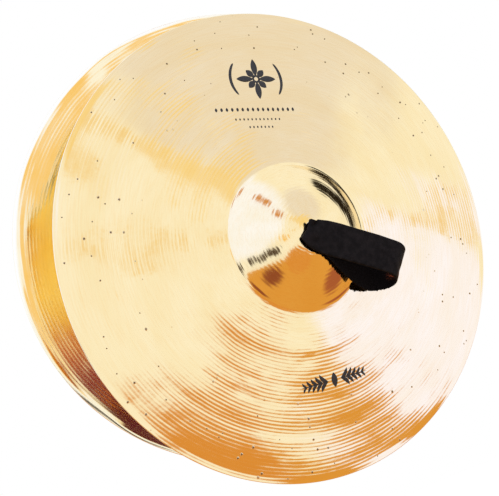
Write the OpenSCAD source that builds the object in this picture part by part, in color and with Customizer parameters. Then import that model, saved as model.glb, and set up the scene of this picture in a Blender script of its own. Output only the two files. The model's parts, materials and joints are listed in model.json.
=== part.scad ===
// A pair of orchestral hand cymbals in playing position: two spun bronze plates face each
// other like an open clam, and each is held by a leather strap knotted through its bell.
// +Y is the rear cymbal's axis, +Z is upright and parallel to the line the plates clash
// about. The origin is where the rear strap leaves the rear bell, at the hand's grip.

/* [Cymbal] */
// Diameter of each cymbal
cymbal_d = 457.2; // [400:1:560]
// Slope of the bow at the foot of the bell
foot_slope = 8; // [6.5:0.1:9]
// Slope of the bow at the rim
rim_slope = 6.2; // [5:0.1:8]
// Radius of the foot of the bell
bell_r = 70; // [60:1:80]
// Height of the bell above its foot
bell_rise = 30; // [26:0.5:34]
// Radius of the hollow sweep between bow and bell
foot_fillet = 9; // [5:0.5:14]
// Thickness of the metal in the bell
bell_t = 1.7; // [1.4:0.1:2.6]
// Thickness of the metal at the rim
rim_t = 1.05; // [0.9:0.05:1.6]
// Diameter of the hole in the bell
hole_d = 13; // [11:0.5:16]

/* [Strap] */
// Width of the leather band
band_w = 33; // [26:1:40]
// Thickness of the leather
leather_t = 2.8; // [2:0.1:3.5]
// Reach of the loop from the cymbal's axis
loop_reach = 97; // [88:1:125]
// Angle on the bell at which the loop's lower leg lifts off
lift_off = 26; // [22:1:28]
// Side of the square knot inside the bell
knot_side = 30; // [24:1:34]
// Length of the four tails that leave the knot
tail_len = 27; // [15:1:30]

/* [Playing position] */
// Angle between the two cymbals' faces
opening = 16; // [0:0.5:60]
// Sideways offset of the front cymbal's centre
offset_x = 28; // [20:0.5:32]
// Upward offset of the front cymbal's centre
offset_z = -23; // [-30:0.5:-16]
// Gap left between the two rims where they meet
rim_gap = 0.4; // [0.3:0.1:2]
// Direction of the front strap's loop, counter-clockwise from the front cymbal's right
front_strap_turn = -40; // [-90:1:0]
// Direction of the rear strap's loop
rear_strap_turn = 90; // [60:1:120]

/* [Hidden] */
$fn = 96;

BRONZE = "goldenrod";
LEATHER = "#1c1a1a";

rim_r = cymbal_d / 2;
hole_r = hole_d / 2;
// The bow falls from bell_r to the rim, and its slope changes evenly on the way
rim_fall = tan(rim_slope);
fall_rate = (rim_fall - tan(foot_slope)) / (rim_r - bell_r);
function bow_fall(r) = rim_fall - fall_rate * (rim_r - r);
function bow_z(r) = (rim_fall - fall_rate * (rim_r - r) / 2) * (rim_r - r);
crown = bow_z(bell_r) + bell_rise;
// Radius of the bell's sphere and the height of its centre
dome_r = (bell_r * bell_r + bell_rise * bell_rise) / (2 * bell_rise);
dome_c = crown - dome_r;
// Centre of the hollow sweep, which is tangent to the bell's sphere and to the bow
foot_fall = bow_fall(bell_r);
foot_run = sqrt(1 + foot_fall * foot_fall);
sweep_k = bow_z(bell_r) + foot_fall * bell_r + foot_fillet * foot_run - dome_c;
sweep_x = (sweep_k * foot_fall + sqrt(pow(foot_run * (dome_r + foot_fillet), 2) - sweep_k * sweep_k))
          / (foot_run * foot_run);
sweep_z = dome_c + sweep_k - foot_fall * sweep_x;
bow_start = sweep_x - foot_fillet * foot_fall / foot_run;
// Angles from the axis at which the bell starts and ends
hole_a = asin(hole_r / dome_r);
dome_a = atan2(sweep_x, sweep_z - dome_c);

// Distance in front of the rear cymbal's centre that leaves the rims that gap
offset_y = (rim_r - offset_x) * tan(opening) + (2 * rim_t + rim_gap) / cos(opening);

// Strap: its clearance in the bell, the bend's axis and the path of the loop in the
// (reach, height) plane
strap_gap = 0.3;
bend_z = crown + leather_t + 0.5;
bend_r = 4.4;
bend_w = 11;
root_x = bend_r + 0.6;
leg_c = dome_c;
leg_r = bend_z - leather_t / 2 - leg_c;
top_z = bend_z + leather_t / 2;
lift_x = leg_r * sin(lift_off);
lift_z = leg_c + leg_r * cos(lift_off);
// The straight run and the far fold's radius that bring the lower leg round to the top one
det = -sin(lift_off) * (1 + sin(lift_off)) - cos(lift_off) * (1 + cos(lift_off));
miss_z = top_z - lift_z;
miss_x = loop_reach - leather_t / 2 - lift_x;
run_len = (miss_z * (1 + sin(lift_off)) - miss_x * (1 + cos(lift_off))) / det;
fold_r = (-sin(lift_off) * miss_x - cos(lift_off) * miss_z) / det;
fold_x = lift_x + run_len * cos(lift_off) + fold_r * sin(lift_off);
fold_z = top_z - fold_r;
root_w = band_w * 0.72;
pressed_x = root_x + 9;
taper_end = 26;
// The knot's corners come closest to the inside of the bell
knot_top = dome_c + sqrt(pow(dome_r - bell_t, 2) - knot_side * knot_side / 2) - strap_gap;
strand_t = 5.4;
tail_w = 9;
tail_slope = 20;

// Thickness of the metal at radius r: even over the bell, then thinning to the rim
function skin(r) = r < bell_r ? bell_t
    : rim_t + (bell_t - rim_t) * pow((rim_r - r) / (rim_r - bell_r), 2);

// Points with outward normals along the bell, in the half plane
function dome_arc(n) = [for (i = [0:n])
    let (a = hole_a + (dome_a - hole_a) * i / n)
    [[dome_r * sin(a), dome_c + dome_r * cos(a)], [sin(a), cos(a)]]];
// The hollow sweep curves the other way, so its normals point to its centre
function sweep_arc(n) = [for (i = [1:n - 1])
    let (a = dome_a + (foot_slope - dome_a) * i / n)
    [[sweep_x - foot_fillet * sin(a), sweep_z - foot_fillet * cos(a)], [sin(a), cos(a)]]];
function bow_line(n) = [for (i = [0:n])
    let (r = bow_start + (rim_r - bow_start) * i / n, run = sqrt(1 + pow(bow_fall(r), 2)))
    [[r, bow_z(r)], [bow_fall(r) / run, 1 / run]]];

outside = concat(dome_arc(12), sweep_arc(6), bow_line(14));
inside = [for (i = [len(outside) - 1:-1:0]) outside[i][0] - outside[i][1] * skin(outside[i][0].x)];

// One cymbal with its rim plane at z = 0 and its bell towards +Z
module plate() {
    bore_bottom = inside[len(inside) - 1].y;
    rotate_extrude($fn = 180)
        polygon(concat([for (p = outside) p[0]],
                       [for (i = [0:len(inside) - 2]) inside[i]],
                       [[hole_r, bore_bottom]]));
}

// Centreline of the loop as [point, left-hand normal], from the neck out and back
function lower_leg() = concat(
    [[[root_x, leg_c + leg_r], [0, 1]]],
    [for (i = [1:8]) let (a = asin(root_x / leg_r) + (lift_off - asin(root_x / leg_r)) * i / 8)
        [[leg_r * sin(a), leg_c + leg_r * cos(a)], [sin(a), cos(a)]]]);
function far_fold() = [for (i = [0:16]) let (a = -90 - lift_off + (180 + lift_off) * i / 16)
    [[fold_x + fold_r * cos(a), fold_z + fold_r * sin(a)], [-cos(a), -sin(a)]]];
loop_path = concat(lower_leg(), far_fold(), [[[root_x, top_z], [0, -1]]]);

// The band folded into a loop, lying over towards +X
module loop() {
    half = leather_t / 2;
    intersection() {
        rotate([90, 0, 0]) linear_extrude(band_w, center = true) difference() {
            polygon([for (p = loop_path) p[0] - half * p[1]]);
            // The two legs are pressed together between the neck and pressed_x
            polygon(concat([for (p = loop_path) if (p[0].x > pressed_x) p[0] + half * p[1]],
                           [[pressed_x, bend_z]]));
        }
        linear_extrude(crown * 2)
            polygon([[root_x, -root_w / 2], [taper_end, -band_w / 2], [loop_reach, -band_w / 2],
                     [loop_reach, band_w / 2], [taper_end, band_w / 2], [root_x, root_w / 2]]);
    }
}

// The four tails bundled through the hole, ending in the rounded bend under the loop
module neck() {
    translate([0, 0, knot_top]) cylinder(r = hole_r - strap_gap, h = crown + strap_gap - knot_top);
    translate([0, 0, bend_z]) rotate([90, 0, 0]) cylinder(r = bend_r, h = bend_w, center = true);
}

// The crown knot: two strands laid across two more, with the four tails leaving it
module knot() {
    pitch = knot_side / 4;
    for (side = [-1, 1]) {
        translate([side * pitch - pitch, -knot_side / 2, knot_top - strand_t])
            cube([2 * pitch, knot_side, strand_t]);
        translate([-knot_side / 2, side * pitch - pitch, knot_top - 2 * strand_t])
            cube([knot_side, 2 * pitch, strand_t]);
    }
    for (turn = [0:90:270]) rotate(turn)
        translate([knot_side / 2 - 2, 0, knot_top - strand_t - leather_t]) rotate([0, tail_slope, 0])
            translate([0, -tail_w / 2, 0]) cube([tail_len, tail_w, leather_t]);
}

// Places a cymbal's own frame in the part's frame
module at_rear() {
    translate([0, -crown, 0]) rotate([-90, 0, 0]) children();
}
module at_front() {
    translate([offset_x, -crown - offset_y, offset_z]) rotate([0, 0, opening]) rotate([90, 0, 0]) children();
}
module rear_strap() { at_rear() rotate(rear_strap_turn) children(); }
module front_strap() { at_front() rotate(front_strap_turn) children(); }

module rear_cymbal() { color(BRONZE) at_rear() plate(); }
module rear_strap_neck() { color(LEATHER) rear_strap() neck(); }
module rear_strap_knot() { color(LEATHER) rear_strap() knot(); }
module rear_strap_loop() { color(LEATHER) rear_strap() loop(); }
module front_cymbal() { color(BRONZE) at_front() plate(); }
module front_strap_neck() { color(LEATHER) front_strap() neck(); }
module front_strap_knot() { color(LEATHER) front_strap() knot(); }
module front_strap_loop() { color(LEATHER) front_strap() loop(); }

rear_cymbal();
rear_strap_neck();
rear_strap_knot();
rear_strap_loop();
front_cymbal();
front_strap_neck();
front_strap_knot();
front_strap_loop();
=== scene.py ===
import json
import math

import bpy
import numpy as np
from mathutils import Matrix, Vector


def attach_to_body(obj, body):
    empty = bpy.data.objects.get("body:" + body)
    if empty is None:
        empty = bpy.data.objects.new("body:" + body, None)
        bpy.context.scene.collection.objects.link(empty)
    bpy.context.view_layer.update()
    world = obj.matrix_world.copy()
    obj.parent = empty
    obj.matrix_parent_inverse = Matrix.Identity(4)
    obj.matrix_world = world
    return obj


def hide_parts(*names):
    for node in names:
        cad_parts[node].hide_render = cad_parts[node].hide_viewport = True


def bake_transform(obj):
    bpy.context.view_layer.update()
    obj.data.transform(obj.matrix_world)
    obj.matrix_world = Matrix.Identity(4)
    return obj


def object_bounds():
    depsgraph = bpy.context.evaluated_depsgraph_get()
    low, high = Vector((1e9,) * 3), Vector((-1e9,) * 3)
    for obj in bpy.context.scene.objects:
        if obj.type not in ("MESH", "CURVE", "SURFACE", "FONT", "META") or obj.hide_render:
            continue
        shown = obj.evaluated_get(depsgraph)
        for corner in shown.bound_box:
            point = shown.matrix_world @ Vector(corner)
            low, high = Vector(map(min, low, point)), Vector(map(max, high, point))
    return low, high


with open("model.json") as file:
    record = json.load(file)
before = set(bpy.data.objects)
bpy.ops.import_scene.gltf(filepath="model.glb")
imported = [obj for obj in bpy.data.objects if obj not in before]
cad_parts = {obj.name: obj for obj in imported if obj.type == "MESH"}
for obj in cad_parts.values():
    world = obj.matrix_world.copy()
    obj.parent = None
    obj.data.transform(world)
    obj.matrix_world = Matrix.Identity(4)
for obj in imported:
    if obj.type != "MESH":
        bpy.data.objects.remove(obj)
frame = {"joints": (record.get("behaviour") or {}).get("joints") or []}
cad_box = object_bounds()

MM = 0.001

# The plate's profile, with the same numbers as the CAD model, in metres
RIM_R = 228.6 * MM
HOLE_R = 6.5 * MM
BELL_R = 70 * MM
BELL_RISE = 30 * MM
SWEEP_R = 9 * MM
BELL_T = 1.7 * MM
RIM_T = 1.05 * MM
FOOT_FALL = math.tan(math.radians(8))
RIM_FALL = math.tan(math.radians(6.2))
FALL_RATE = (RIM_FALL - FOOT_FALL) / (RIM_R - BELL_R)


def bow_z(r):
    """Height of the bow over the rim's plane."""
    return (RIM_FALL - FALL_RATE * (RIM_R - r) / 2) * (RIM_R - r)


CROWN = bow_z(BELL_R) + BELL_RISE
DOME_R = (BELL_R**2 + BELL_RISE**2) / (2 * BELL_RISE)
DOME_C = CROWN - DOME_R
# The hollow sweep at the bell's foot, tangent to the bell's sphere and to the bow
FOOT_RUN = math.sqrt(1 + FOOT_FALL**2)
SWEEP_K = bow_z(BELL_R) + FOOT_FALL * BELL_R + SWEEP_R * FOOT_RUN - DOME_C
SWEEP_X = (SWEEP_K * FOOT_FALL + math.sqrt((FOOT_RUN * (DOME_R + SWEEP_R)) ** 2 - SWEEP_K**2)) / FOOT_RUN**2
SWEEP_Z = DOME_C + SWEEP_K - FOOT_FALL * SWEEP_X
DOME_END = DOME_R * math.sin(math.atan2(SWEEP_X, SWEEP_Z - DOME_C))
BOW_START = SWEEP_X - SWEEP_R * FOOT_FALL / FOOT_RUN

# Mesh density of the plates
TURN_STEPS = 360
OUTER_STEP = 1.6 * MM
INNER_STEP = 3.0 * MM


def smoothstep(low, high, value):
    t = np.clip((value - low) / (high - low), 0, 1)
    return t * t * (3 - 2 * t)


def face_height(r):
    """Height of the outer face over the rim's plane, and how steeply it falls, at radius r."""
    if r < DOME_END:
        h = math.sqrt(DOME_R**2 - r * r)
        return DOME_C + h, r / h
    if r < BOW_START:
        h = math.sqrt(SWEEP_R**2 - (SWEEP_X - r) ** 2)
        return SWEEP_Z - h, (SWEEP_X - r) / h
    return bow_z(r), RIM_FALL - FALL_RATE * (RIM_R - r)


def thickness(r):
    """Even over the bell, then thinning to the rim."""
    if r < BELL_R:
        return BELL_T
    return RIM_T + (BELL_T - RIM_T) * ((RIM_R - r) / (RIM_R - BELL_R)) ** 2


def plate_profile():
    """The plate's section as a closed outline, and which of its points are on the outer face."""
    lip = 0.35 * MM
    top = list(np.arange(HOLE_R + lip, RIM_R - 0.5 * RIM_T, OUTER_STEP)) + [RIM_R - 0.45 * RIM_T]
    bottom = list(np.arange(RIM_R - 0.45 * RIM_T, HOLE_R + lip, -INNER_STEP)) + [HOLE_R + lip]
    outline = [(r, face_height(r)[0]) for r in top]
    edge_z = face_height(RIM_R)[0]
    for turn in (60, 20, -20, -60):
        a = math.radians(turn)
        mid = edge_z - RIM_T / 2 + 0.1 * MM
        outline.append((RIM_R - 0.5 * RIM_T * (1 - math.cos(a)), mid + 0.5 * RIM_T * math.sin(a)))
    for r in bottom:
        z, slope = face_height(r)
        length = math.hypot(1, slope)
        t = thickness(r)
        outline.append((r - t * slope / length, z - t / length))
    outline.append((HOLE_R, face_height(HOLE_R)[0] - BELL_T + lip))
    outline.append((HOLE_R, face_height(HOLE_R)[0] - lip))
    return np.array(outline), np.arange(len(outline)) < len(top)


class Hammering:
    """The relief that hammer and lathe leave in one plate: long waves, round dimples, low ridges."""

    def __init__(self, seed):
        rng = np.random.default_rng(seed)
        self.wave_dir = rng.uniform(0, 2 * math.pi, 14)
        self.wave_len = rng.uniform(45, 130, 14) * MM
        self.wave_phase = rng.uniform(0, 2 * math.pi, 14)
        count = 340
        radius = RIM_R * np.sqrt(rng.uniform(0.14, 0.93, count))
        angle = rng.uniform(0, 2 * math.pi, count)
        self.dimples = np.stack([radius * np.cos(angle), radius * np.sin(angle)], axis=1)
        self.dimple_size = rng.uniform(3.0, 6.5, count) * MM
        self.dimple_depth = rng.uniform(-0.10, 0.03, count) * MM
        self.ridge_phase = rng.uniform(0, 2 * math.pi, 4)

    def height(self, x, y):
        """Metres added along the plate's axis to both faces at (x, y) in the plate's own frame."""
        r = np.hypot(x, y)
        z = np.zeros_like(r)
        for a, length, phase in zip(self.wave_dir, self.wave_len, self.wave_phase):
            along = x * math.cos(a) + y * math.sin(a)
            z += 0.0011 * length * np.sin(2 * math.pi * along / length + phase)
        for (cx, cy), size, depth in zip(self.dimples, self.dimple_size, self.dimple_depth):
            near = np.abs(x - cx) < 3 * size
            near[near] = np.abs(y[near] - cy) < 3 * size
            d2 = (x[near] - cx) ** 2 + (y[near] - cy) ** 2
            z[near] += depth * np.exp(-d2 / (2 * size * size))
        for pitch, amount, phase in zip((9.1, 13.7, 21.0, 34.0), (9, 14, 22, 40), self.ridge_phase):
            swing = 0.6 * np.sin(3 * np.arctan2(y, x) + phase)
            z += amount * 1e-6 * np.sin(2 * math.pi * r / (pitch * MM) + phase + swing)
        return z * smoothstep(BOW_START, BOW_START + 22 * MM, r) * smoothstep(RIM_R, RIM_R - 6 * MM, r)


def new_object(name, vertices, faces, to_frame=None, smooth=True):
    """A mesh object with no transform of its own: the vertices are moved to the shared frame."""
    vertices = np.array(vertices, float)
    if to_frame is not None:
        m = np.array(to_frame)
        vertices = vertices @ m[:3, :3].T + m[:3, 3]
    mesh = bpy.data.meshes.new(name)
    mesh.from_pydata(vertices.tolist(), [], faces)
    mesh.validate()
    mesh.polygons.foreach_set("use_smooth", [smooth] * len(mesh.polygons))
    mesh.update()
    obj = bpy.data.objects.new(name, mesh)
    bpy.context.scene.collection.objects.link(obj)
    return obj


def attach(obj, name, values):
    """Stores one number, or one vector, per vertex under a name the materials read."""
    values = np.array(values, np.float32)
    kind, field = ("FLOAT", "value") if values.ndim == 1 else ("FLOAT_VECTOR", "vector")
    obj.data.attributes.new(name, kind, "POINT").data.foreach_set(field, values.ravel())


def ring_faces(rings, around, closed_rings=False):
    """Quads between consecutive rings of vertices, each ring closed on itself."""
    faces = []
    for i in range(rings if closed_rings else rings - 1):
        a, b = i * around, ((i + 1) % rings) * around
        for j in range(around):
            k = (j + 1) % around
            faces.append((a + j, a + k, b + k, b + j))
    return faces


def plate_mesh(name, relief, to_frame):
    outline, outer = plate_profile()
    angle = np.arange(TURN_STEPS) * 2 * math.pi / TURN_STEPS
    x = np.outer(outline[:, 0], np.cos(angle))
    y = np.outer(outline[:, 0], np.sin(angle))
    z = np.repeat(outline[:, 1:], TURN_STEPS, axis=1)
    z = z + relief.height(x.ravel(), y.ravel()).reshape(z.shape)
    vertices = np.stack([x.ravel(), y.ravel(), z.ravel()], axis=1)
    obj = new_object(name, vertices, ring_faces(len(outline), TURN_STEPS, closed_rings=True), to_frame)
    attach(obj, "plate_flat", np.stack([x.ravel(), y.ravel(), np.repeat(outer, TURN_STEPS)], axis=1))
    return obj


# --- Node helpers -----------------------------------------------------------------------


class Tree:
    """Builds a node tree with one short call per node."""

    def __init__(self, owner):
        owner.use_nodes = True
        self.nodes = owner.node_tree.nodes
        self.links = owner.node_tree.links
        self.nodes.clear()

    def add(self, kind, inputs=None, **settings):
        node = self.nodes.new(kind)
        for key, value in settings.items():
            setattr(node, key, value)
        for key, value in (inputs or {}).items():
            self.put(node.inputs[key], value)
        return node

    def put(self, socket, value):
        if isinstance(value, bpy.types.NodeSocket):
            self.links.new(value, socket)
        else:
            socket.default_value = value

    def calc(self, operation, *values, clamp=False):
        inputs = dict(enumerate(values))
        return self.add("ShaderNodeMath", inputs, operation=operation, use_clamp=clamp).outputs[0]

    def vector(self, operation, *values):
        node = self.add("ShaderNodeVectorMath", dict(enumerate(values)), operation=operation)
        return node.outputs["Value" if operation in ("DOT_PRODUCT", "LENGTH") else "Vector"]

    def scaled(self, vector, factor):
        node = self.add("ShaderNodeVectorMath", {0: vector}, operation="SCALE")
        self.put(node.inputs["Scale"], factor)
        return node.outputs["Vector"]

    def join(self, x, y, z):
        return self.add("ShaderNodeCombineXYZ", {0: x, 1: y, 2: z}).outputs[0]

    def noise(self, vector, scale, detail=2.0, roughness=0.5):
        inputs = {"Vector": vector, "Scale": scale, "Detail": detail, "Roughness": roughness}
        return self.add("ShaderNodeTexNoise", inputs).outputs[0]

    def ramp(self, value, low, high, to_low=0.0, to_high=1.0):
        inputs = {"Value": value, "From Min": low, "From Max": high, "To Min": to_low, "To Max": to_high}
        return self.add("ShaderNodeMapRange", inputs, interpolation_type="SMOOTHSTEP").outputs[0]

    def mix(self, factor, a, b):
        node = self.add("ShaderNodeMix", data_type="RGBA")
        self.put(node.inputs["Factor"], factor)
        self.put(node.inputs["A"], a)
        self.put(node.inputs["B"], b)
        return node.outputs["Result"]


def rgba(r, g, b):
    return (r, g, b, 1.0)


GROOVE_PITCH = 3.3 * MM
PIT_CELL = 12 * MM


def bronze_material(name):
    """Brilliant-finish cast bronze: lathe grooves, faint hammer marks and small peened pits."""
    material = bpy.data.materials.new(name)
    t = Tree(material)
    where = t.add("ShaderNodeAttribute", attribute_name="plate_flat")
    xyz = t.add("ShaderNodeSeparateXYZ", {0: where.outputs["Vector"]})
    flat = t.join(xyz.outputs[0], xyz.outputs[1], 0.0)
    radius = t.vector("LENGTH", flat)
    turn = t.vector("NORMALIZE", flat)
    turned = t.add("ShaderNodeSeparateXYZ", {0: turn})

    def polar(around, ring_mm):
        """Noise coordinates stretched along the circumference."""
        return t.join(
            t.calc("MULTIPLY", turned.outputs[0], around),
            t.calc("MULTIPLY", turned.outputs[1], around),
            t.calc("DIVIDE", radius, ring_mm * MM),
        )

    broad = t.noise(polar(2.2, 26), 1.0, 2.0)
    patch = t.noise(polar(5.0, 17), 1.0, 2.0)
    streak = t.noise(polar(9.0, 1.3), 1.0, 2.0)
    fine = t.noise(polar(14.0, 0.55), 1.0, 1.0)
    phase = t.calc("MULTIPLY_ADD", broad, 7.0, t.calc("MULTIPLY", radius, 2 * math.pi / GROOVE_PITCH))
    groove = t.calc("MULTIPLY", t.calc("SINE", phase), t.ramp(patch, 0.3, 0.75, 0.25, 1.0))
    speckle = t.noise(t.scaled(flat, 1 / (7 * MM)), 1.0, 2.0)

    def pits(shift, share, channel):
        """A pit in a share of the cells of a sparse pattern, picked by one channel of their colour."""
        cell = t.add(
            "ShaderNodeTexVoronoi",
            {"Vector": t.vector("ADD", flat, shift), "Scale": 1 / PIT_CELL, "Randomness": 1.0},
            voronoi_dimensions="2D",
        )
        chance = t.add("ShaderNodeSeparateColor", {0: cell.outputs["Color"]}).outputs
        size = t.calc("MULTIPLY_ADD", chance[2], 0.9, 0.45)
        wobble = t.calc("MULTIPLY_ADD", t.noise(t.scaled(flat, 1 / (1.1 * MM)), 1.0), 1.4, 0.3)
        near = t.calc("MULTIPLY", cell.outputs["Distance"], wobble)
        dot = t.ramp(near, 0.035, t.calc("MULTIPLY", size, 0.10), 1.0, 0.0)
        return t.calc("MULTIPLY", dot, t.calc("GREATER_THAN", chance[channel], 1 - share))

    outer = xyz.outputs[2]
    # Pits lie on the outer part of the outer face only
    band = t.calc("MULTIPLY", t.ramp(radius, 0.62 * RIM_R, 0.78 * RIM_R), t.ramp(radius, RIM_R, 0.97 * RIM_R))
    zone = t.calc("MULTIPLY", band, outer)
    both = t.calc("MAXIMUM", pits((0, 0, 0), 0.17, 0), pits((4.4 * MM, 1.8 * MM, 0), 0.06, 1))
    pit = t.calc("MULTIPLY", both, zone)

    height = t.calc("MULTIPLY", groove, 0.022 * MM)
    height = t.calc("MULTIPLY_ADD", streak, 0.020 * MM, height)
    height = t.calc("MULTIPLY_ADD", fine, 0.006 * MM, height)
    height = t.calc("MULTIPLY_ADD", speckle, 0.040 * MM, height)
    height = t.calc("MULTIPLY_ADD", pit, -0.15 * MM, height)
    strength = t.ramp(outer, 0, 1, 0.5, 1.0)
    bump = t.add("ShaderNodeBump", {"Strength": strength, "Distance": 1.0, "Height": height})

    gold = t.mix(t.ramp(broad, 0.3, 0.7), rgba(0.94, 0.76, 0.43), rgba(0.96, 0.80, 0.49))
    gold = t.mix(t.ramp(streak, 0.35, 0.75, 0.0, 0.30), gold, rgba(0.92, 0.66, 0.31))
    gold = t.mix(outer, rgba(0.96, 0.85, 0.60), gold)
    colour = t.mix(t.calc("MULTIPLY", pit, 0.9), gold, rgba(0.10, 0.045, 0.015))
    shine = t.calc("MULTIPLY_ADD", pit, 0.4, t.ramp(patch, 0.25, 0.8, 0.06, 0.13))
    shader = t.add(
        "ShaderNodeBsdfPrincipled",
        {"Base Color": colour, "Metallic": 1.0, "Roughness": shine, "Normal": bump.outputs[0]},
    )
    t.add("ShaderNodeOutputMaterial", {"Surface": shader.outputs[0]})
    return material


def leather_material(name):
    """Black chrome-tanned leather, grained on the smooth side, fibrous on the flesh side. The flesh side is
    also painted a little darker than the grain side, as painted shade for the inside of the loop.
    """
    material = bpy.data.materials.new(name)
    t = Tree(material)
    flat = t.add("ShaderNodeAttribute", attribute_name="leather_flat")
    place = flat.outputs["Vector"]
    side = t.add("ShaderNodeSeparateXYZ", {0: place}).outputs[2]
    flesh = t.ramp(side, -0.0002, 0.0002, 1.0, 0.0)
    pebble = t.add(
        "ShaderNodeTexVoronoi", {"Vector": place, "Scale": 1 / (0.9 * MM)}, feature="DISTANCE_TO_EDGE"
    ).outputs["Distance"]
    pebble = t.ramp(pebble, 0.0, 0.35)
    crease = t.noise(t.scaled(place, 1 / (6 * MM)), 1.0, 4.0, 0.6)
    fibre = t.noise(t.scaled(place, 1 / (0.5 * MM)), 1.0, 3.0, 0.7)
    grain = t.calc("MULTIPLY_ADD", pebble, 0.05 * MM, t.calc("MULTIPLY", crease, 0.25 * MM))
    nap = t.calc("MULTIPLY", fibre, 0.25 * MM)
    height = t.calc("ADD", grain, t.calc("MULTIPLY", flesh, t.calc("SUBTRACT", nap, grain)))
    bump = t.add("ShaderNodeBump", {"Strength": 0.8, "Distance": 1.0, "Height": height})
    black = t.mix(t.ramp(crease, 0.35, 0.7), rgba(0.0034, 0.0026, 0.0028), rgba(0.0075, 0.0056, 0.006))
    # Flesh-side colour: partly the fibrous flesh side, partly painted shade, darker than the grain side to
    # stand in for the shade inside the loop
    flesh_and_painted_shade = t.mix(t.ramp(fibre, 0.4, 0.7), rgba(0.002, 0.0014, 0.0016), rgba(0.007, 0.0048, 0.005))
    colour = t.mix(flesh, black, flesh_and_painted_shade)
    scuff = t.add("ShaderNodeAttribute", attribute_name="leather_scuff").outputs["Fac"]
    scuffed = t.calc("MULTIPLY", scuff, t.ramp(t.noise(t.scaled(place, 1 / (1.6 * MM)), 1.0, 3.0), 0.48, 0.6))
    colour = t.mix(scuffed, colour, rgba(0.34, 0.075, 0.035))
    rough = t.calc("ADD", t.ramp(pebble, 0.0, 1.0, 0.62, 0.48), t.calc("MULTIPLY", flesh, 0.35))
    shader = t.add(
        "ShaderNodeBsdfPrincipled",
        {
            "Base Color": colour,
            "Roughness": rough,
            "Specular IOR Level": 0.06,
            "Normal": bump.outputs[0],
        },
    )
    t.add("ShaderNodeOutputMaterial", {"Surface": shader.outputs[0]})
    return material


def ink_material(name):
    """Screen-printed black ink, slightly uneven in cover and gloss."""
    material = bpy.data.materials.new(name)
    t = Tree(material)
    place = t.add("ShaderNodeTexCoord").outputs["Object"]
    cover = t.noise(t.scaled(place, 1 / (1.5 * MM)), 1.0, 3.0)
    colour = t.mix(t.ramp(cover, 0.35, 0.7), rgba(0.006, 0.006, 0.007), rgba(0.016, 0.014, 0.013))
    bump = t.add("ShaderNodeBump", {"Strength": 0.5, "Distance": 0.00002, "Height": cover})
    shader = t.add(
        "ShaderNodeBsdfPrincipled",
        {"Base Color": colour, "Roughness": t.ramp(cover, 0.2, 0.8, 0.42, 0.6), "Normal": bump.outputs[0]},
    )
    t.add("ShaderNodeOutputMaterial", {"Surface": shader.outputs[0]})
    return material


# --- Frames of the pieces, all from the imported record's joints ------------------------------------------

joints = {j["name"]: j for j in frame["joints"]}


def plate_matrix(side):
    """The plate's own frame: z out of its bell, y upright, origin at the rim plane's centre."""
    joint = joints[side + "_swivel"]
    z = Vector(joint["axis"]).normalized()
    y = Vector((0, 0, 1))
    x = y.cross(z)
    origin = Vector(joint["pos_m"]) - z * CROWN
    return Matrix.Translation(origin) @ Matrix((x, y, z)).transposed().to_4x4()


def strap_matrix(side):
    """The strap's own frame: z out of the bell, x along the loop's reach."""
    z = Vector(joints[side + "_swivel"]["axis"]).normalized()
    y = -Vector(joints[side + "_strap_bend"]["axis"]).normalized()
    x = y.cross(z)
    origin = Vector(joints[side + "_swivel"]["pos_m"]) - z * CROWN
    return Matrix.Translation(origin) @ Matrix((x, y, z)).transposed().to_4x4()


# --- Straps ---------------------------------------------------------------------------------

LEATHER_T = 2.8 * MM
BEND_Z = CROWN + LEATHER_T + 0.5 * MM
LEG_R = BEND_Z - LEATHER_T / 2 - DOME_C


def spline(keys, step):
    """A Catmull-Rom curve through rows of numbers, resampled evenly along its first three columns."""
    keys = np.array(keys, float)
    padded = np.vstack([2 * keys[0] - keys[1], keys, 2 * keys[-1] - keys[-2]])
    dense = []
    for i in range(1, len(padded) - 2):
        p0, p1, p2, p3 = padded[i - 1 : i + 3]
        for u in np.linspace(0, 1, 24, endpoint=False):
            dense.append(
                0.5 * (2 * p1 + (p2 - p0) * u + (2 * p0 - 5 * p1 + 4 * p2 - p3) * u**2
                       + (3 * p1 - p0 - 3 * p2 + p3) * u**3)
            )
    dense = np.array(dense + [keys[-1]])
    length = np.concatenate([[0], np.cumsum(np.linalg.norm(np.diff(dense[:, :3], axis=0), axis=1))])
    even = np.linspace(0, length[-1], max(4, round(length[-1] / step)))
    return np.stack([np.interp(even, length, dense[:, c]) for c in range(dense.shape[1])], axis=1), even


# Places across the band, as shares of its width, closer together at the two cut edges
ACROSS = np.array([0, 0.012, 0.03, 0.06, 0.11, 0.18, 0.26, 0.34, 0.42, 0.5])
ACROSS = np.concatenate([ACROSS, 1 - ACROSS[-2::-1]])


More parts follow.
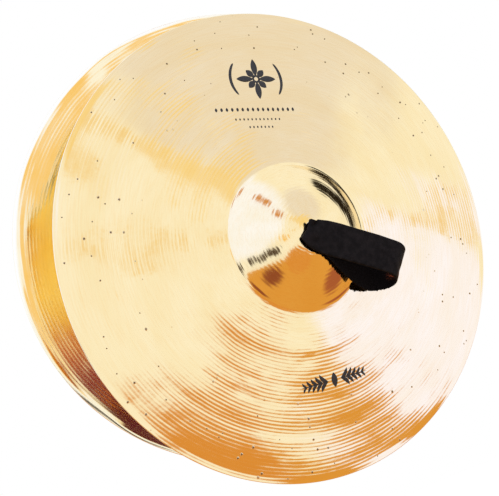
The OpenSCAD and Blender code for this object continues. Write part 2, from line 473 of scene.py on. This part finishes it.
def leather_strip(centre, across, width, length, half, shape=None):
    """A strip of leather as vertices, faces and places on the flat strip. shape adds height to it."""
    tangent = np.gradient(centre, axis=0)
    tangent /= np.linalg.norm(tangent, axis=1, keepdims=True)
    across = across - (across * tangent).sum(axis=1, keepdims=True) * tangent
    across /= np.linalg.norm(across, axis=1, keepdims=True)
    normal = np.cross(tangent, across)
    vertices, flat = [], []
    count = len(ACROSS)
    for i in range(len(centre)):
        offset = (ACROSS - 0.5) * width[i]
        edge = np.minimum(ACROSS, 1 - ACROSS) * width[i]
        plump = np.sqrt(1 - (1 - np.clip(edge / (1.1 * MM), 0, 1)) ** 2)
        lift = shape(length[i], ACROSS - 0.5, offset) if shape else np.zeros(count)
        top = centre[i] + np.outer(offset, across[i]) + np.outer(lift + half * plump, normal[i])
        low = centre[i] + np.outer(offset, across[i]) + np.outer(lift - half * plump, normal[i])
        vertices += list(top) + list(low[-2:0:-1])
        flat += [(length[i], o, h) for o, h in zip(offset, half * plump)]
        flat += [(length[i], o, -h) for o, h in zip(offset[-2:0:-1], (half * plump)[-2:0:-1])]
    around = 2 * count - 2
    faces = ring_faces(len(centre), around)
    faces = [f[::-1] for f in faces]
    for start, flip in ((0, False), (len(vertices) - around, True)):
        for j in range(count - 1):
            under, under_next = (around - j) % around, (around - j - 1) % around
            quad = [start + j, start + j + 1, start + under_next, start + under]
            quad = list(dict.fromkeys(quad))
            if len(quad) > 2:
                faces.append(tuple(quad[::-1] if flip else quad))
    return np.array(vertices), faces, flat


# The band's width, and its fold's centre and radius, in mm with heights over the crown
BAND_W = 33
FOLD_X, FOLD_Z, FOLD_R = 84.6, -10.0, 14.7


def band_keys(lean, skew):
    """(x, y, height over the crown, width) in mm: out of the hole, over the top leg and back under."""
    keys = [(-2.0, 0, -5.0, 9), (-2.0, 0, -2.0, 9), (-2.2, -0.2, 0.8, 9.4), (-4.1, -2.0, 2.5, 15)]
    keys += [(-5.8, -3.2, 4.0, 20), (-4.2, -4.2, 5.2, 24), (0, -4.8, 5.3, 28), (7, -4.8, 4.9, 31)]
    keys += [(15, -4.4, 4.7, 32.5), (30, -3.2, 4.8, BAND_W), (55, -1.4, 4.7, BAND_W), (72, -0.4, 4.7, BAND_W)]
    for a in (90, 70, 50, 30, 10, -10, -30, -50, -70, -90, -110):
        share = (90 - a) / 200
        turn = math.radians(a)
        x, z = FOLD_X + FOLD_R * math.cos(turn), FOLD_Z + FOLD_R * math.sin(turn)
        keys.append((x, skew * share**1.5, z, BAND_W))
    keys += [(66, 0.95 * skew, -19.1, BAND_W), (57, 0.85 * skew, -14.8, BAND_W)]
    # The lower leg follows the bell
    legs = ((26, 0.7, BAND_W), (20, 0.5, BAND_W), (14, 0.25, BAND_W), (9, 0.1, 29), (4.8, 0, 22))
    for a, share, width in legs:
        turn = math.radians(a)
        height = (DOME_C - CROWN + LEG_R * math.cos(turn)) / MM
        keys.append((LEG_R / MM * math.sin(turn), skew * share, height, width))
    keys += [(5.2, 0, 1.5, 12), (2.9, 0, 0.2, 9.2), (2.1, 0, -2.0, 9), (2.0, 0, -5.0, 9)]
    return [(x, y + lean * max(0, x - 5), z, width) for x, y, z, width in keys]


def over_crown(path):
    """Metres in the strap's own frame, from mm with heights over the crown."""
    return path[:, :3] * MM + [0, 0, CROWN]


def band(side, lean, skew, seed, to_frame):
    """The hand loop of one strap. lean turns it sideways and skew shifts its lower leg."""
    rng = np.random.default_rng(seed)
    path, length = spline(band_keys(lean, skew), 0.8)
    centre, width = over_crown(path), path[:, 3] * MM
    length = length * MM
    total = length[-1]
    waves = [(rng.uniform(18, 45) * MM, rng.uniform(0, 6.28), rng.uniform(-2, 2)) for _ in range(5)]
    ragged = rng.normal(0, 1, (len(centre), 2))
    # The lower leg's cut edges are frayed, the others nearly straight
    lower = smoothstep(0.5 * total, 0.56 * total, length) * smoothstep(0.97 * total, 0.9 * total, length)
    root = 26 * MM
    cup_centre = 20 * MM

    def shape(s, share, offset):
        """Slow waves that fade at both ends, and edges that sink beside a raised middle near the root."""
        lift = np.zeros_like(share)
        for wave, phase, slant in waves:
            lift += 0.10 * MM * np.sin(2 * math.pi * (s + slant * offset) / wave + phase)
        lift *= smoothstep(0, root, s) * smoothstep(total, total - root, s)
        cup = math.exp(-(((s - cup_centre) / (8 * MM)) ** 2))
        lift = lift - cup * (1.9 * MM * (2 * share) ** 2 - 0.9 * MM * np.exp(-((offset / (5 * MM)) ** 2)))
        return lift

    across = np.tile([0.0, 1.0, 0.0], (len(centre), 1))
    co, faces, flat = leather_strip(centre, across, width, length, LEATHER_T / 2, shape)
    around = 2 * len(ACROSS) - 2
    for k, j in ((0, 0), (1, len(ACROSS) - 1)):
        index = np.arange(len(centre)) * around + j
        co[index, 1] += (1 - 2 * k) * -0.7 * MM * ragged[:, k] * (0.08 + lower)
        co[index, 2] += 0.2 * MM * np.roll(ragged[:, k], 1) * lower
    obj = new_object(side + "_strap_band", co, faces, to_frame)
    attach(obj, "leather_flat", flat)
    # Red raw leather shows through a small spot on the fold
    scuff = np.exp(-((co[:, 0] / MM - 98.5) / 2.5) ** 2) * np.exp(-((co[:, 1] / MM + 4) / 3.0) ** 2)
    attach(obj, "leather_scuff", scuff)
    return obj


# One tail of the crown knot, (x, y, height over the crown, width) in mm: down the hole, back under
# the bell, round and across the knot's face over one strand and under the next, then free
TAIL_KEYS = [
    (-1.7, 2.3, 1.0, 5.5), (-1.8, 2.4, -2.0, 5.5), (-3.0, 3.4, -4.5, 7), (-7.0, 5.6, -6.0, 10),
    (-11.5, 7.2, -6.3, 12), (-14.3, 7.5, -8.3, 12.5), (-12.6, 7.5, -11.8, 12.5), (-7.5, 7.5, -13.3, 12.5),
    (0, 7.5, -11.7, 12.5), (7.5, 7.5, -9.7, 12.5), (13.5, 7.5, -10.7, 12), (19, 7.5, -13.2, 11.5),
    (29, 7.7, -17.0, 10), (38, 8.2, -20.6, 8.5), (40.5, 8.3, -21.7, 7),
]


def knot(side, to_frame):
    """The four tails of one strap as one mesh."""
    path, length = spline(TAIL_KEYS, 0.9)
    vertices, faces, flat = [], [], []
    for quarter in range(4):
        c, s = round(math.cos(quarter * math.pi / 2)), round(math.sin(quarter * math.pi / 2))
        spin = np.array([[c, -s, 0], [s, c, 0], [0, 0, 1]])
        across = np.tile(spin @ [0.0, 1.0, 0.0], (len(path), 1))
        centre = over_crown(path) @ spin.T
        tail, tail_faces, tail_flat = leather_strip(centre, across, path[:, 3] * MM, length * MM, 1.3 * MM)
        faces += [tuple(len(vertices) + i for i in f) for f in tail_faces]
        vertices += tail.tolist()
        flat += tail_flat
    obj = new_object(side + "_strap_tails", vertices, faces, to_frame)
    attach(obj, "leather_flat", flat)
    attach(obj, "leather_scuff", np.zeros(len(vertices)))
    return obj


# --- Printed ornaments ------------------------------------------------------------------------

INK_T = 0.05 * MM


def ribbon(points, widths, places, faces):
    """A flat ribbon of ink: (x, y, up or down) places on the plate, and faces. Points in mm."""
    points = np.array(points, float) * MM
    tangent = np.gradient(points, axis=0)
    tangent /= np.linalg.norm(tangent, axis=1, keepdims=True)
    sideways = np.stack([-tangent[:, 1], tangent[:, 0]], axis=1)
    columns = np.linspace(-0.5, 0.5, 5)
    widths = np.maximum(np.array(widths, float), 0.06) * MM
    start = len(places)
    for layer in (1, -1):
        for point, across, width in zip(points, sideways, widths):
            places += [(*(point + across * c * width), layer) for c in columns]
    n, m = len(points), len(columns)
    back = start + n * m
    for i in range(n - 1):
        for j in range(m - 1):
            a, b = start + i * m + j, start + (i + 1) * m + j
            faces.append((a, b, b + 1, a + 1))
            c, d = back + i * m + j, back + (i + 1) * m + j
            faces.append((c, c + 1, d + 1, d))
        for j, swap in ((0, False), (m - 1, True)):
            a, b = start + i * m + j, start + (i + 1) * m + j
            c, d = back + i * m + j, back + (i + 1) * m + j
            faces.append((a, b, d, c) if swap else (a, c, d, b))
    for i, swap in ((0, True), (n - 1, False)):
        for j in range(m - 1):
            a, c = start + i * m + j, back + i * m + j
            faces.append((a, a + 1, c + 1, c) if not swap else (a, c, c + 1, a + 1))


def lens(start, end, fat, count=13, bow=0.0):
    """Points and widths of a leaf shape from start to end, bent sideways by bow."""
    start, end = np.array(start, float), np.array(end, float)
    side = np.array([-(end - start)[1], (end - start)[0]])
    share = np.linspace(0, 1, count)
    line = start + np.outer(share, end - start) + np.outer(np.sin(math.pi * share) * bow, side)
    return line, fat * np.sin(math.pi * share) ** 0.8


def arc(centre, radius, first, last, width, taper=True):
    """Points and widths of an arc from the first to the last angle in degrees."""
    count = max(6, int(abs(last - first) * math.pi / 180 * radius / 1.5))
    angle = np.radians(np.linspace(first, last, count))
    line = np.stack([centre[0] + radius * np.cos(angle), centre[1] + radius * np.sin(angle)], axis=1)
    share = np.linspace(0, 1, count)
    return line, width * (np.sin(math.pi * share) ** 0.3 if taper else np.ones(count))


def place(shapes, centre, turn):
    """Turns and moves drawn shapes to their place on the plate."""
    c, s = math.cos(math.radians(turn)), math.sin(math.radians(turn))
    spin = np.array([[c, -s], [s, c]])
    return [(line @ spin.T + np.array(centre), widths) for line, widths in shapes]


def star_emblem():
    """An eight-pointed compass star between two short arcs."""
    shapes = []
    for k in range(8):
        a = math.radians(90 + 45 * k)
        reach = 21 if k % 2 == 0 else 13
        point = np.array([math.cos(a), math.sin(a)])
        shapes.append(lens(3 * point, reach * point, 6.5))
    shapes.append(arc((0, 0), 3.2, 0, 360, 2.2, taper=False))
    for first in (-38, 142):
        shapes.append(arc((0, 0), 27, first, first + 76, 3.0))
    return shapes


def dotted_lines():
    """Three rows of small dots, each shorter than the one above."""
    shapes = []
    for y, half, size, pitch in ((0, 43, 4.2, 5.4), (-10, 25, 2.6, 4.2), (-18, 12, 2.6, 4.0)):
        for k in np.arange(-half, half + 0.1, pitch):
            shapes.append(lens((k, y - size / 2), (k, y + size / 2), size * 0.62, count=7))
    return shapes


def laurel_border():
    """Two sprigs of leaves that run out from a lozenge in the middle."""
    shapes = [lens((0, -7), (0, 7), 6.5)]
    for way in (-1, 1):
        shapes.append(lens((way * 5, 0), (way * 37, 0), 1.3, count=40))
        for k in range(5):
            x = way * (7 + 5.6 * k)
            size = 10.5 - 1.1 * k
            for up in (-1, 1):
                tip = (x + way * 0.78 * size, up * 0.78 * size)
                shapes.append(lens((x, 0), tip, 0.36 * size, bow=-0.14 * up * way))
    return shapes


def ornaments(relief, to_frame):
    """All printed ornaments of the front plate as one mesh that lies on its relief."""
    drawn = place(star_emblem(), (22, 157), -13) + place(dotted_lines(), (10, 127), -13)
    drawn += place(laurel_border(), (-11, -139), -6)
    places, faces = [], []
    for line, widths in drawn:
        ribbon(line, widths, places, faces)
    x, y, layer = np.array(places).T
    z = [face_height(r)[0] for r in np.hypot(x, y)] + relief.height(x, y) + layer * INK_T
    return new_object("front_ornaments", np.stack([x, y, z], axis=1), faces, to_frame)


# --- Assembly ---------------------------------------------------------------------------------

bronze = bronze_material("bronze")
leather = leather_material("black_leather")
ink = ink_material("black_print")

for side, seed, lean, skew in (("rear", 3, -0.03, -6), ("front", 11, 0.08, -14)):
    relief = Hammering(seed)
    plate = plate_mesh(side + "_plate_metal", relief, plate_matrix(side))
    plate.data.materials.append(bronze)
    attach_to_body(plate, side + "_plate")
    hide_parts(side + "_cymbal")

    to_frame = strap_matrix(side)
    tails = knot(side, to_frame)
    tails.data.materials.append(leather)
    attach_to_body(tails, side + "_tie")
    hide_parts(side + "_strap_knot", side + "_strap_neck")

    loop = band(side, lean, skew, seed + 20, to_frame)
    loop.data.materials.append(leather)
    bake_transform(loop)
    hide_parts(side + "_strap_loop")

    if side == "front":
        print_work = ornaments(relief, plate_matrix(side))
        print_work.data.materials.append(ink)
        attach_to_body(print_work, "front_plate")


# --- Studio ------------------------------------------------------------------------------------


def studio_world():
    """White to the camera and to matt surfaces, and a set of soft panels to the metal."""
    world = bpy.data.worlds.new("studio")
    bpy.context.scene.world = world
    t = Tree(world)
    toward = t.add("ShaderNodeTexCoord").outputs["Generated"]
    up = t.add("ShaderNodeSeparateXYZ", {0: toward}).outputs[2]
    colour = rgba(1.03, 1.06, 1.10)

    def panel(colour, azimuth, elevation, inner, outer, light):
        """A round soft panel. Azimuth 0 is behind the camera and 90 is to its right."""
        a, e = math.radians(azimuth), math.radians(elevation)
        centre = (math.sin(a) * math.cos(e), -math.cos(a) * math.cos(e), math.sin(e))
        facing = t.vector("DOT_PRODUCT", toward, centre)
        share = t.ramp(facing, math.cos(math.radians(outer)), math.cos(math.radians(inner)))
        return t.mix(share, colour, rgba(*light))

    # What the front plate's bow shows: tan above, bluish white low on the right, orange at lower left
    colour = panel(colour, 52, 29, 13, 24, (0.90, 0.90, 1.00))
    colour = panel(colour, 58, -12, 10, 18, (1.05, 1.16, 1.80))
    colour = t.mix(t.ramp(up, -0.352, -0.322), rgba(0.78, 0.39, 0.085), colour)
    colour = panel(colour, 20, -25, 12.5, 16.5, (0.76, 0.34, 0.075))
    # Narrow warm panels that the lathe grooves and hammer marks break into streaks
    colour = panel(colour, 33, 17, 1, 5, (0.99, 0.86, 0.58))
    colour = panel(colour, 28, 20, 1, 3.5, (0.98, 0.84, 0.56))
    colour = panel(colour, 23, 8, 0.5, 2.5, (0.97, 0.82, 0.54))
    colour = panel(colour, 69, -1, 0.5, 2.5, (0.96, 0.78, 0.48))
    # What only the bell shows
    colour = panel(colour, 40, 12, 4, 10, (1.00, 0.84, 0.48))
    colour = panel(colour, -30, 42, 38, 52, (1.04, 1.18, 1.70))
    for azimuth, elevation in ((99, 28), (103, 20), (108, 11), (113, 2)):
        colour = panel(colour, azimuth, elevation, 5, 10, (0.02, 0.015, 0.01))
    for azimuth, elevation in ((4, 58), (11, 49), (16, 31)):
        colour = panel(colour, azimuth, elevation, 2, 6, (0.70, 0.32, 0.09))
    for azimuth, elevation in ((-34, -9), (-22, -10), (-12, -7), (-4, -8)):
        colour = panel(colour, azimuth, elevation, 2.5, 6, (0.08, 0.05, 0.03))
    colour = panel(colour, -18, -34, 6, 14, (0.30, 0.09, 0.04))
    colour = panel(colour, 85, -44, 8, 16, (0.42, 0.13, 0.06))
    # Between the plates, after one reflection off the rear plate's inside
    colour = panel(colour, 10.5, 3, 2, 5, (1.00, 0.68, 0.24))
    path = t.add("ShaderNodeLightPath")
    # A stage trick, not real light: what was reflected about four times or more has its own colours,
    # which darken upward, so that the rear plate's crescent runs from gold to maroon
    between = t.mix(t.ramp(up, -0.03, 0.12), rgba(1.22, 1.30, 1.00), rgba(0.68, 0.18, 0.25))
    between = t.mix(t.ramp(up, 0.08, 0.20), between, rgba(0.27, 0.025, 0.25))
    between = t.mix(t.ramp(up, 0.19, 0.32), between, rgba(0.12, 0.02, 0.18))
    colour = t.mix(t.ramp(path.outputs["Glossy Depth"], 2.5, 4.5), colour, between)
    seen = t.mix(path.outputs["Is Glossy Ray"], rgba(1.0, 1.0, 1.0), colour)
    seen = t.mix(path.outputs["Is Camera Ray"], seen, rgba(1, 1, 1))
    background = t.add("ShaderNodeBackground", {"Color": seen, "Strength": 1.0})
    t.add("ShaderNodeOutputWorld", {"Surface": background.outputs[0]})


def floor():
    """A plain pale floor, well below the hanging pair."""
    size = 1.4
    drop = 0.42
    z = cad_box[0][2] - drop
    corners = [(-size, -size, z), (size, -size, z), (size, size, z), (-size, size, z)]
    obj = new_object("floor", corners, [(0, 1, 2, 3)], smooth=False)
    material = bpy.data.materials.new("pale_floor")
    t = Tree(material)
    mottle = t.noise(t.add("ShaderNodeTexCoord").outputs["Object"], 3.0, 3.0)
    colour = t.mix(mottle, rgba(0.90, 0.90, 0.90), rgba(0.93, 0.93, 0.93))
    shader = t.add(
        "ShaderNodeBsdfPrincipled",
        {"Base Color": colour, "Roughness": 0.9, "Specular IOR Level": 0.1},
    )
    t.add("ShaderNodeOutputMaterial", {"Surface": shader.outputs[0]})
    obj.data.materials.append(material)
    obj.visible_glossy = False


def area_light(name, azimuth, elevation, distance, size, watts):
    """A soft square light aimed at the middle of the pair. It stays out of mirror reflections."""
    a, e = math.radians(azimuth), math.radians(elevation)
    direction = Vector((math.sin(a) * math.cos(e), -math.cos(a) * math.cos(e), math.sin(e)))
    light = bpy.data.lights.new(name, "AREA")
    light.size = size
    light.energy = watts
    obj = bpy.data.objects.new(name, light)
    bpy.context.scene.collection.objects.link(obj)
    obj.location = Vector((0, -0.1, 0)) + direction * distance
    obj.rotation_euler = direction.to_track_quat("Z", "Y").to_euler()
    obj.visible_glossy = False
    obj.visible_camera = False


def camera():
    """The photo's view of the pair, fitted to the outlines of both rims."""
    eye = (-0.1895, -1.04407, -0.0556)
    data = bpy.data.cameras.new("camera")
    data.lens = 72.14
    data.sensor_width = 36
    obj = bpy.data.objects.new("camera", data)
    bpy.context.scene.collection.objects.link(obj)
    forward = Vector((0.18768, 0.98144, 0.03928)).normalized()
    up = Vector((0.32647, -0.10005, 0.9399))
    right = forward.cross(up).normalized()
    up = right.cross(forward)
    axes = Matrix((right, up, -forward)).transposed().to_4x4()
    obj.matrix_world = Matrix.Translation(eye) @ axes
    bpy.context.scene.camera = obj


studio_world()
floor()
area_light("key", -20, 50, 2.4, 1.6, 40)
area_light("fill", 70, 25, 2.6, 2.0, 25)
camera()
bpy.context.scene.view_settings.view_transform = "Standard"
bpy.context.scene.cycles.glossy_bounces = 12
